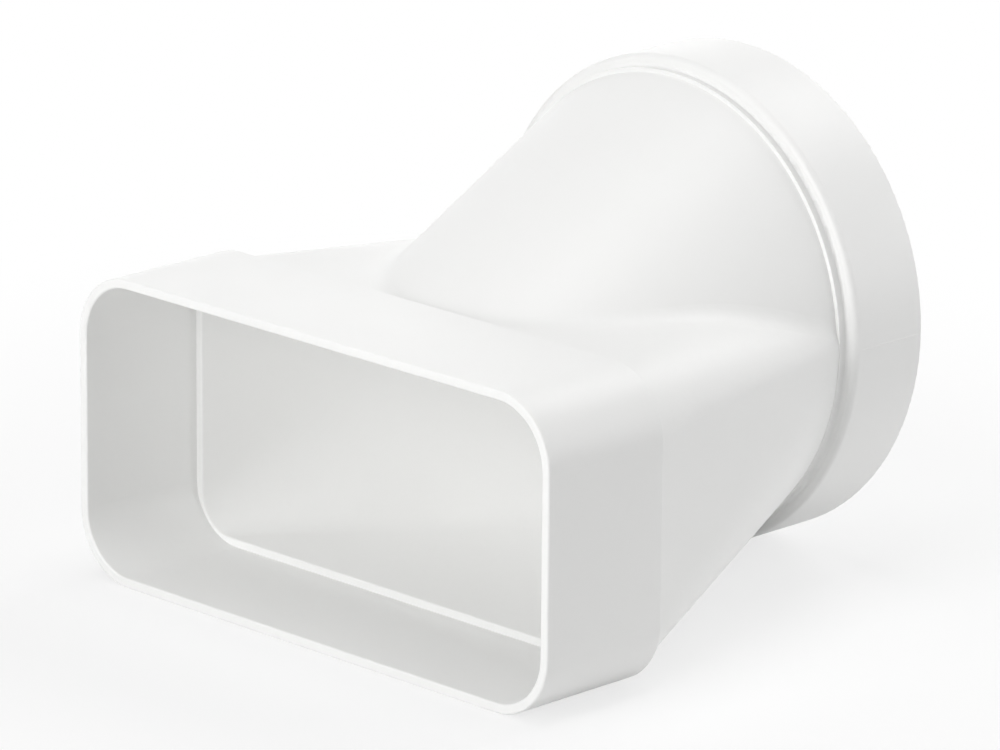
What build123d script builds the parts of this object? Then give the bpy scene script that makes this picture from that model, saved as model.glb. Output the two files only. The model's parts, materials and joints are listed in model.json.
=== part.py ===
"""Duct adapter: a flat rectangular socket that runs over into a round pipe socket.

One moulded piece with a thin wall. The rectangular mouth looks along -Y and the round mouth along +Y.
Both collars stand flush on Z = 0, and the origin is the bottom centre of the whole box.
"""

import os

from build123d import *

# Driving sizes in millimetres

pipe_diameter = 125.0  # outside of the round pipe that slides into the round socket
pipe_play = 0.2  # room all round that pipe
channel_width = 163.5  # outside of the flat channel that slides into the rectangular socket
channel_height = 76.5
channel_play = 0.4  # room on each side of that channel
wall = 2.6  # wall of the collars and of the transition

flat_collar_length = 40.0  # outside, from the rectangular rim to the rear step
flat_stop_depth = 38.4  # inside, from the rectangular rim to the stop ledge
flat_corner_radius = 17.8  # outer corners of the rectangular collar
flat_step = 2.1  # how far the transition stands in from the rectangular collar

transition_length = 88.2  # from the rear of the rectangular collar to the round neck
neck_length = 2.7  # short ring between the cone and the round collar
round_step = 3.2  # how far the neck stands in from the round collar
round_collar_length = 25.1
round_web = 2.6  # thickness of the web behind the pipe stop

shoulder_end_rise = 0.2  # how far the shoulders still stand above the pipe axis at the neck
shoulder_end_width = 26.0  # rounding of the shoulders there, inwards
shoulder_end_height = 12.5  # and downwards
low_edge_cut = 3.1  # how much tighter the lower edges of the transition start than the upper ones
tray_gap = 0.15  # how far the lower body stays inside the neck
cone_gap = 1.1  # how far the cone stays inside the neck
cone_start_radius = 58.0  # circle that the cone starts from at the rectangular end
cone_start_drop = 0.8  # how far that circle stays under the shoulders
fold_radius = 8.0  # hollow between the cone and the shoulders
lead = 1.5  # how far both bodies reach into the collar, so that they fuse cleanly
seam = 0.2  # straight rest where a corner becomes a quarter of the neck

rim_round = 0.6  # rounded edges of both rims
step_round = 0.5  # rounded edges of the rectangular collar's step and of both ledges
round_edge = 1.8  # rounded front edge of the round collar
neck_fillet = 0.8  # hollow between the neck and the face of the round collar

# Sizes that follow from them

socket_width = channel_width + 2 * channel_play
socket_height = channel_height + 2 * channel_play
flat_width = socket_width + 2 * wall
flat_height = socket_height + 2 * wall
socket_radius = pipe_diameter / 2 + pipe_play
collar_radius = socket_radius + wall
neck_radius = collar_radius - round_step
start_corner = flat_corner_radius - flat_step

total_length = flat_collar_length + transition_length + neck_length + round_collar_length
front_y = -total_length / 2
back_y = total_length / 2
ledge_y = front_y + flat_stop_depth
flat_end_y = front_y + flat_collar_length
neck_y = flat_end_y + transition_length
step_y = neck_y + neck_length
stop_y = step_y + round_web

flat_axis_z = flat_height / 2
pipe_axis_z = collar_radius
shoulder_end_z = pipe_axis_z + shoulder_end_rise + shoulder_end_height


def across_at(y):
    """Drawing plane across the duct at this Y, with X to the right and Z up."""
    return Plane(origin=(0, y, 0), x_dir=(1, 0, 0), z_dir=(0, -1, 0))


def run(first, last, y):
    """Straight run of a size: the first value at the ledge, the last one at the neck."""
    return first + (last - first) * (y - ledge_y) / (neck_y - ledge_y)


# The lower body is a rounded box with a flat top that narrows to the lower half of the neck


def tray(inset):
    with BuildPart() as body:
        for y in (ledge_y - lead, neck_y):
            half = run(flat_width / 2 - flat_step, neck_radius - tray_gap, y) - inset
            low = run(flat_step, pipe_axis_z - neck_radius + tray_gap, y) + inset
            high = run(flat_height - flat_step, shoulder_end_z, y) - inset
            low_corner = run(start_corner - low_edge_cut, neck_radius - tray_gap, y) - inset - seam / 2
            edge_width = run(start_corner, shoulder_end_width, y) - inset
            edge_height = run(start_corner, shoulder_end_height, y) - inset - seam / 2
            with BuildSketch(across_at(y)):
                with BuildLine():
                    CenterArc((half - low_corner, low + low_corner), low_corner, -90, 90)
                    Line((half, low + low_corner), (half, high - edge_height))
                    shoulder_centre = (half - edge_width, high - edge_height)
                    EllipticalCenterArc(
                        shoulder_centre, edge_width, edge_height, start_angle=0, arc_size=90
                    )
                    mirror(about=Plane.YZ)
                    Line((low_corner - half, low), (half - low_corner, low))
                    Line((edge_width - half, high), (half - edge_width, high))
                make_face()
        loft(ruled=True)
    return body.part


# The cone rises out of the top of the collar to the upper half of the neck


def cone(inset):
    start_z = flat_height - flat_step - cone_start_drop - cone_start_radius
    with BuildPart() as body:
        for y in (ledge_y - lead, neck_y):
            radius = run(cone_start_radius, neck_radius - cone_gap, y) - inset
            centre_z = run(start_z, pipe_axis_z, y)
            with BuildSketch(across_at(y)):
                with Locations((0, centre_z)):
                    Circle(radius)
                with Locations((0, centre_z - radius)):
                    Rectangle(2 * radius, 2 * radius, mode=Mode.SUBTRACT)
        loft(ruled=True)
    return body.part


def transition(inset):
    """Both bodies in one, drawn in from the outer skin by the inset, with the fold hollowed."""
    with BuildPart() as body:
        add(tray(inset))
        add(cone(inset))
        cone_face = body.faces().filter_by(GeomType.BSPLINE).sort_by(Axis.Z)[-1]
        fillet(cone_face.edges().filter_by(GeomType.BSPLINE), fold_radius)
    return body.part


def flat_block(width, height, corner, length):
    """Rounded block of the rectangular end, from the rim inwards."""
    with BuildPart() as body:
        with BuildSketch(across_at(front_y)):
            with Locations((0, flat_axis_z)):
                RectangleRounded(width, height, corner)
        extrude(amount=-length)
    return body.part


def round_block(radius, start_y, end_y):
    """Cylinder on the pipe axis between two places along the duct."""
    with BuildPart() as body:
        with BuildSketch(across_at(start_y)):
            with Locations((0, pipe_axis_z)):
                Circle(radius)
        extrude(amount=start_y - end_y)
    return body.part


def face_at(body, y):
    """The flat face across the duct that lies nearest to this Y."""
    return body.faces().filter_by(Axis.Y).sort_by(lambda face: abs(face.center().Y - y))[0]


with BuildPart() as adapter:
    # Outside: rectangular collar, transition, neck and round collar
    add(flat_block(flat_width, flat_height, flat_corner_radius, flat_collar_length))
    add(transition(0))
    add(round_block(neck_radius, neck_y, stop_y))
    add(round_block(collar_radius, step_y, back_y))
    fillet(face_at(adapter, flat_end_y).outer_wire().edges(), step_round)
    fillet(face_at(adapter, step_y).inner_wires().edges(), neck_fillet)
    fillet(face_at(adapter, step_y).outer_wire().edges(), round_edge)
    # Inside: the same skin drawn in by the wall, and the two sockets with their stop ledges
    add(transition(wall), mode=Mode.SUBTRACT)
    add(round_block(neck_radius - wall, neck_y, back_y), mode=Mode.SUBTRACT)
    socket = flat_block(socket_width, socket_height, flat_corner_radius - wall, flat_stop_depth)
    add(socket, mode=Mode.SUBTRACT)
    add(round_block(socket_radius, stop_y, back_y), mode=Mode.SUBTRACT)
    fillet(face_at(adapter, ledge_y).inner_wires().edges(), step_round)
    fillet(face_at(adapter, stop_y).inner_wires().edges(), step_round)
    # Rims
    fillet(face_at(adapter, front_y).edges(), rim_round)
    fillet(face_at(adapter, back_y).edges(), rim_round)

os.makedirs("parts", exist_ok=True)
adapter.part.label = "adapter_body"
export_step(adapter.part, "parts/adapter_body.step")
print("adapter_body", adapter.part.bounding_box().size, round(adapter.part.volume))
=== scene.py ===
# %% [markdown]
# # A moulded duct adapter in a white studio
#
# The adapter joins a flat rectangular air duct to a round pipe. It is one piece of white plastic, and the
# solid model already has its whole form. This lesson dresses that model: a satin moulded finish, the fine
# line that the two halves of the mould leave, and a white studio that shows the soft shading of a pale
# object.
#
# The first cell loads the solid model as a fixed frame. Everything below is in metres, with +Z up, the
# rectangular mouth towards -Y and the round mouth towards +Y. The box is kept, for the sizes that later cells
# take from it.

# %% Load the solid model
import json
import math

import bmesh
import bpy
from mathutils import Matrix, Vector


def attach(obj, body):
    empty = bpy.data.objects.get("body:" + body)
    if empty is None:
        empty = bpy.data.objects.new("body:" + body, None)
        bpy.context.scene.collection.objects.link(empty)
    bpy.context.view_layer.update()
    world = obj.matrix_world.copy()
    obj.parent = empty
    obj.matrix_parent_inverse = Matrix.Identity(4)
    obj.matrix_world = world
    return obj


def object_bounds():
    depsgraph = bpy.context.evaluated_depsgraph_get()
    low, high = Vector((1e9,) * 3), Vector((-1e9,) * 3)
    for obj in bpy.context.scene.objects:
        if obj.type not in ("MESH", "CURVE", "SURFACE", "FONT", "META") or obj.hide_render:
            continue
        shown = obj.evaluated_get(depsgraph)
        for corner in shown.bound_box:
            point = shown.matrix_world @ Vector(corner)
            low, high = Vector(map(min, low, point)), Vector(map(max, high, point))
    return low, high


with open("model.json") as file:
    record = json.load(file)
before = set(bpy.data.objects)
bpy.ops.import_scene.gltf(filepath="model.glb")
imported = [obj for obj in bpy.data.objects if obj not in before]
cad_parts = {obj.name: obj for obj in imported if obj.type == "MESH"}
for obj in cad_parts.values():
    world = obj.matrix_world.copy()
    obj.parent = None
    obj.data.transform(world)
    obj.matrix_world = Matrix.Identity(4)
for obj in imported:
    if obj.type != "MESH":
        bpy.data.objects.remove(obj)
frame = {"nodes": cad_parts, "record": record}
bpy.context.view_layer.update()
cad_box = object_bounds()
adapter = frame["nodes"]["adapter_body"]
mounts = {mount["name"]: mount for mount in frame["record"]["mounts"]}
scene = bpy.context.scene
print("adapter:", len(adapter.data.polygons), "triangles, box", [tuple(corner) for corner in cad_box])

# %% [markdown]
# ## The finish
#
# The real adapter is injection moulded in white plastic with a satin surface. A single flat colour would look
# like paper, so three patterns are laid over each other. A wide soft cloud shifts the white a little, as the
# melt does where it flows fast or slow. A finer cloud shifts the gloss. The finest one is the eroded grain of
# the mould's steel, far too small to model, so it is a bump. All three read Object coordinates, which are
# real metres here, so each scale is a real size.

# %% Helpers for the finish
white = (0.88, 0.88, 0.87)
melt_white = (0.865, 0.866, 0.858)
cloud_size = 0.045
gloss_size = 0.012
grain_size = 0.0007
grain_depth = 0.000012
roughness_low = 0.40
roughness_high = 0.52
soft_detail = 2.0
gloss_detail = 3.0
grain_strength = 0.35
sheen_level = 0.4


def link(tree, source, target):
    tree.links.new(source, target)


def noise(tree, coordinates, size, detail):
    """A noise whose patches are about this wide, in metres."""
    node = tree.nodes.new("ShaderNodeTexNoise")
    node.inputs["Scale"].default_value = 1 / size
    node.inputs["Detail"].default_value = detail
    link(tree, coordinates.outputs["Object"], node.inputs["Vector"])
    return node


# %% White satin plastic
def satin_white_plastic():
    material = bpy.data.materials.new("satin_white_plastic")
    material.use_nodes = True
    tree = material.node_tree
    shader = tree.nodes["Principled BSDF"]
    coordinates = tree.nodes.new("ShaderNodeTexCoord")

    cloud = noise(tree, coordinates, cloud_size, soft_detail)
    tint = tree.nodes.new("ShaderNodeMix")
    tint.data_type = "RGBA"
    tint.inputs["A"].default_value = (*melt_white, 1)
    tint.inputs["B"].default_value = (*white, 1)
    link(tree, cloud.outputs["Fac"], tint.inputs["Factor"])
    link(tree, tint.outputs["Result"], shader.inputs["Base Color"])

    gloss = noise(tree, coordinates, gloss_size, gloss_detail)
    spread = tree.nodes.new("ShaderNodeMapRange")
    spread.inputs["To Min"].default_value = roughness_low
    spread.inputs["To Max"].default_value = roughness_high
    link(tree, gloss.outputs["Fac"], spread.inputs["Value"])
    link(tree, spread.outputs["Result"], shader.inputs["Roughness"])

    grain = noise(tree, coordinates, grain_size, soft_detail)
    bump = tree.nodes.new("ShaderNodeBump")
    bump.inputs["Strength"].default_value = grain_strength
    bump.inputs["Distance"].default_value = grain_depth
    link(tree, grain.outputs["Fac"], bump.inputs["Height"])
    link(tree, bump.outputs["Normal"], shader.inputs["Normal"])

    shader.inputs["Specular IOR Level"].default_value = sheen_level
    return material


plastic = satin_white_plastic()
adapter.data.materials.clear()
adapter.data.materials.append(plastic)
print("finish:", plastic.name, "with", len(plastic.node_tree.nodes), "nodes")

# %% [markdown]
# ## The parting line
#
# The mould opens at the height of the pipe's axis, and its two halves leave a hair-fine ridge along the round
# collar there. A bump in the material would follow the shading only, so the ridge is real: a thin bar with a
# rounded back, lying on the collar on each side. It starts from a cube that is stretched to the collar's
# length, short of its rounded ends, and its outer edges are bevelled.

# %% Parting line on the round collar
axis_height = mounts["round_socket"]["pos_m"][2]
collar_radius = axis_height - cad_box[0].z
collar_end = cad_box[1].y
collar_length = 0.0251
ridge_width = 0.00035
ridge_proud = 0.00008
ridge_sunk = 0.0004
ridge_front_margin = 0.0022
ridge_rear_margin = 0.0008


def parting_ridge(name, side):
    thickness = ridge_proud + ridge_sunk
    front = collar_end - collar_length + ridge_front_margin
    rear = collar_end - ridge_rear_margin
    size = (thickness, rear - front, ridge_width)
    centre = Vector((
        side * (collar_radius + ridge_proud - thickness / 2),
        (front + rear) / 2,
        axis_height,
    ))
    mesh = bpy.data.meshes.new(name)
    shape = bmesh.new()
    bmesh.ops.create_cube(shape, size=1)
    bmesh.ops.scale(shape, vec=size, verts=shape.verts)
    bmesh.ops.translate(shape, vec=centre, verts=shape.verts)
    outer = [edge for edge in shape.edges if all(side * vert.co.x > side * centre.x for vert in edge.verts)]
    bmesh.ops.bevel(
        shape, geom=outer, offset=ridge_proud, segments=2, profile=0.5, affect="EDGES", material=-1
    )
    bmesh.ops.recalc_face_normals(shape, faces=shape.faces)
    shape.to_mesh(mesh)
    shape.free()
    mesh.materials.append(plastic)
    ridge = bpy.data.objects.new(name, mesh)
    scene.collection.objects.link(ridge)
    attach(ridge, "root")
    return ridge


ridges = [parting_ridge("parting_ridge_right", 1), parting_ridge("parting_ridge_left", -1)]
print("parting line:", [ridge.name for ridge in ridges], "on a radius of", round(collar_radius, 4))

# %% [markdown]
# ## The studio
#
# A white object on white is drawn by its shadows alone. The floor is a plain pale sheet that takes the
# adapter's shadow. What the camera sees of it is lifted towards white, the more the farther it is from the
# adapter, and the world behind is white too. So the shadow stays as a soft grey and fades out into pure
# white. The light itself stays at a plain level: the lift works only for what the camera, a reflection or a
# clear material looks at, and adds no light to the object.

# %% Floor and world
floor_white = (0.9, 0.9, 0.9, 1)
floor_lift_near = 0.72
shadow_reach = 0.11
white_reach = 0.34
floor_size = 6.0
world_light = 0.0


def seen_directly(tree):
    """1 for rays of the camera, of reflections and of clear materials, 0 for light that falls on things."""
    path = tree.nodes.new("ShaderNodeLightPath")
    seen = tree.nodes.new("ShaderNodeMath")
    seen.operation = "MAXIMUM"
    link(tree, path.outputs["Is Camera Ray"], seen.inputs[0])
    link(tree, path.outputs["Is Glossy Ray"], seen.inputs[1])
    seen_too = tree.nodes.new("ShaderNodeMath")
    seen_too.operation = "MAXIMUM"
    link(tree, seen.outputs["Value"], seen_too.inputs[0])
    link(tree, path.outputs["Is Transmission Ray"], seen_too.inputs[1])
    return seen_too


def floor_material():
    material = bpy.data.materials.new("studio_floor")
    material.use_nodes = True
    tree = material.node_tree
    tree.nodes.clear()
    output = tree.nodes.new("ShaderNodeOutputMaterial")
    paper = tree.nodes.new("ShaderNodeBsdfDiffuse")
    paper.inputs["Color"].default_value = floor_white
    glow = tree.nodes.new("ShaderNodeEmission")
    coordinates = tree.nodes.new("ShaderNodeTexCoord")
    distance = tree.nodes.new("ShaderNodeVectorMath")
    distance.operation = "LENGTH"
    fade = tree.nodes.new("ShaderNodeMapRange")
    fade.interpolation_type = "SMOOTHSTEP"
    fade.inputs["From Min"].default_value = shadow_reach
    fade.inputs["From Max"].default_value = white_reach
    fade.inputs["To Min"].default_value = floor_lift_near
    fade.inputs["To Max"].default_value = 1.0
    lift = tree.nodes.new("ShaderNodeMath")
    lift.operation = "MULTIPLY"
    mix = tree.nodes.new("ShaderNodeMixShader")
    link(tree, coordinates.outputs["Object"], distance.inputs[0])
    link(tree, distance.outputs["Value"], fade.inputs["Value"])
    link(tree, seen_directly(tree).outputs["Value"], lift.inputs[0])
    link(tree, fade.outputs["Result"], lift.inputs[1])
    link(tree, lift.outputs["Value"], mix.inputs["Fac"])
    link(tree, paper.outputs["BSDF"], mix.inputs[1])
    link(tree, glow.outputs["Emission"], mix.inputs[2])
    link(tree, mix.outputs["Shader"], output.inputs["Surface"])
    return material


def studio_floor():
    mesh = bpy.data.meshes.new("studio_floor")
    shape = bmesh.new()
    bmesh.ops.create_grid(shape, x_segments=1, y_segments=1, size=floor_size / 2)
    bmesh.ops.translate(shape, vec=(0, 0, cad_box[0].z), verts=shape.verts)
    shape.to_mesh(mesh)
    shape.free()
    mesh.materials.append(floor_material())
    floor = bpy.data.objects.new("studio_floor", mesh)
    scene.collection.objects.link(floor)
    return floor


def studio_world():
    world = bpy.data.worlds.new("studio_world")
    world.use_nodes = True
    tree = world.node_tree
    tree.nodes.clear()
    output = tree.nodes.new("ShaderNodeOutputWorld")
    light = tree.nodes.new("ShaderNodeBackground")
    light.inputs["Color"].default_value = (1, 1, 1, 1)
    light.inputs["Strength"].default_value = world_light
    backdrop = tree.nodes.new("ShaderNodeBackground")
    backdrop.inputs["Color"].default_value = (1, 1, 1, 1)
    backdrop.inputs["Strength"].default_value = 1.0
    mix = tree.nodes.new("ShaderNodeMixShader")
    link(tree, seen_directly(tree).outputs["Value"], mix.inputs["Fac"])
    link(tree, light.outputs["Background"], mix.inputs[1])
    link(tree, backdrop.outputs["Background"], mix.inputs[2])
    link(tree, mix.outputs["Shader"], output.inputs["Surface"])
    scene.world = world
    return world


floor = studio_floor()
world = studio_world()
print("studio:", floor.name, "and", world.name)

# %% [markdown]
# ## The lamps
#
# The light in the picture comes from all round, most of it from the front, from above and from behind, so the
# top is nearly white, the right side is light grey and the near end of the inside is darkest. Large soft
# panels do the same: each is placed by the direction it shines from, its height above the floor as an angle,
# and its distance. One small panel close behind shines through the round mouth and helps to light the inside.
# It is kept weak, because the same light falls on the round rim and glares along the floor of the inside.

# %% Lamps
middle = Vector((0.0, 0.0, 0.06))
round_mouth = Vector((0.0, 0.07, 0.065))
far = 1.6
close = 0.33
large = 0.9
small = 0.2
panels = {
    "front_low": {"from": 0, "height": 12, "away": far, "size": large, "watts": 13.0, "aim": middle},
    "front_high": {"from": 0, "height": 45, "away": far, "size": large, "watts": 5.0, "aim": middle},
    "near_right_low": {"from": 45, "height": 12, "away": far, "size": large, "watts": 2.5, "aim": middle},
    "far_right_low": {"from": 135, "height": 12, "away": far, "size": large, "watts": 8.0, "aim": middle},
    "back_far": {"from": 180, "height": 45, "away": far, "size": large, "watts": 8.5, "aim": middle},
    "far_left_low": {"from": 225, "height": 12, "away": far, "size": large, "watts": 2.5, "aim": middle},
    "left_high": {"from": 270, "height": 45, "away": far, "size": large, "watts": 1.0, "aim": middle},
    "top": {"from": 0, "height": 85, "away": far, "size": large, "watts": 9.5, "aim": middle},
    "back_low": {"from": 180, "height": 6, "away": close, "size": small, "watts": 0.15, "aim": round_mouth},
}


def soft_panel(name, panel):
    turn = math.radians(panel["from"])
    rise = math.radians(panel["height"])
    away = Vector((math.sin(turn) * math.cos(rise), -math.cos(turn) * math.cos(rise), math.sin(rise)))
    data = bpy.data.lights.new(name, "AREA")
    data.shape = "SQUARE"
    data.size = panel["size"]
    data.energy = panel["watts"]
    lamp = bpy.data.objects.new(name, data)
    lamp.location = panel["aim"] + away * panel["away"]
    lamp.rotation_euler = away.to_track_quat("Z", "Y").to_euler()
    scene.collection.objects.link(lamp)
    return lamp


lamps = [soft_panel(name, panel) for name, panel in panels.items()]
print("lamps:", ", ".join(lamp.name for lamp in lamps))

# %% [markdown]
# ## The camera
#
# The photograph was taken from in front, to the right and a little above, with a long lens: the edges that
# run along the duct stay almost parallel. The camera looks at a point inside the transition, which shows a
# little left of the picture's middle and below it, so the camera is moved aside and up by that much instead
# of being turned.

# %% Camera
image_width = 1000
image_height = 750
view_azimuth = math.radians(44.9)
view_elevation = math.radians(16.57)
view_roll = math.radians(0.485)
view_distance = 1.8317
focal_pixels = 7192.0
sensor_width = 36.0
look_at = Vector((0.0, -0.018, 0.05125))
look_at_pixel = (477.5, 406.2)


def photo_camera():
    back = Vector((
        math.sin(view_azimuth) * math.cos(view_elevation),
        -math.cos(view_azimuth) * math.cos(view_elevation),
        math.sin(view_elevation),
    ))
    level = Vector((0, 0, 1)).cross(back).normalized()
    upright = back.cross(level)
    right = level * math.cos(view_roll) + upright * math.sin(view_roll)
    up = upright * math.cos(view_roll) - level * math.sin(view_roll)
    metres_per_pixel = view_distance / focal_pixels
    aside = (look_at_pixel[0] - image_width / 2) * metres_per_pixel
    below = (look_at_pixel[1] - image_height / 2) * metres_per_pixel
    pose = Matrix((right, up, back)).transposed().to_4x4()
    pose.translation = look_at + back * view_distance - right * aside + up * below
    data = bpy.data.cameras.new("photo_camera")
    data.sensor_fit = "HORIZONTAL"
    data.sensor_width = sensor_width
    data.lens = focal_pixels / image_width * sensor_width
    camera = bpy.data.objects.new("photo_camera", data)
    camera.matrix_world = pose
    scene.collection.objects.link(camera)
    return camera


scene.camera = photo_camera()
scene.view_settings.view_transform = "Standard"
print("camera:", round(scene.camera.data.lens, 1), "mm lens at", round(view_distance, 3), "m")

# %% [markdown]
# ## The end
#
# The looks must not change the object's size. The last cell brings the view layer up to date.

# %% Bring the view layer up to date
bpy.context.view_layer.update()
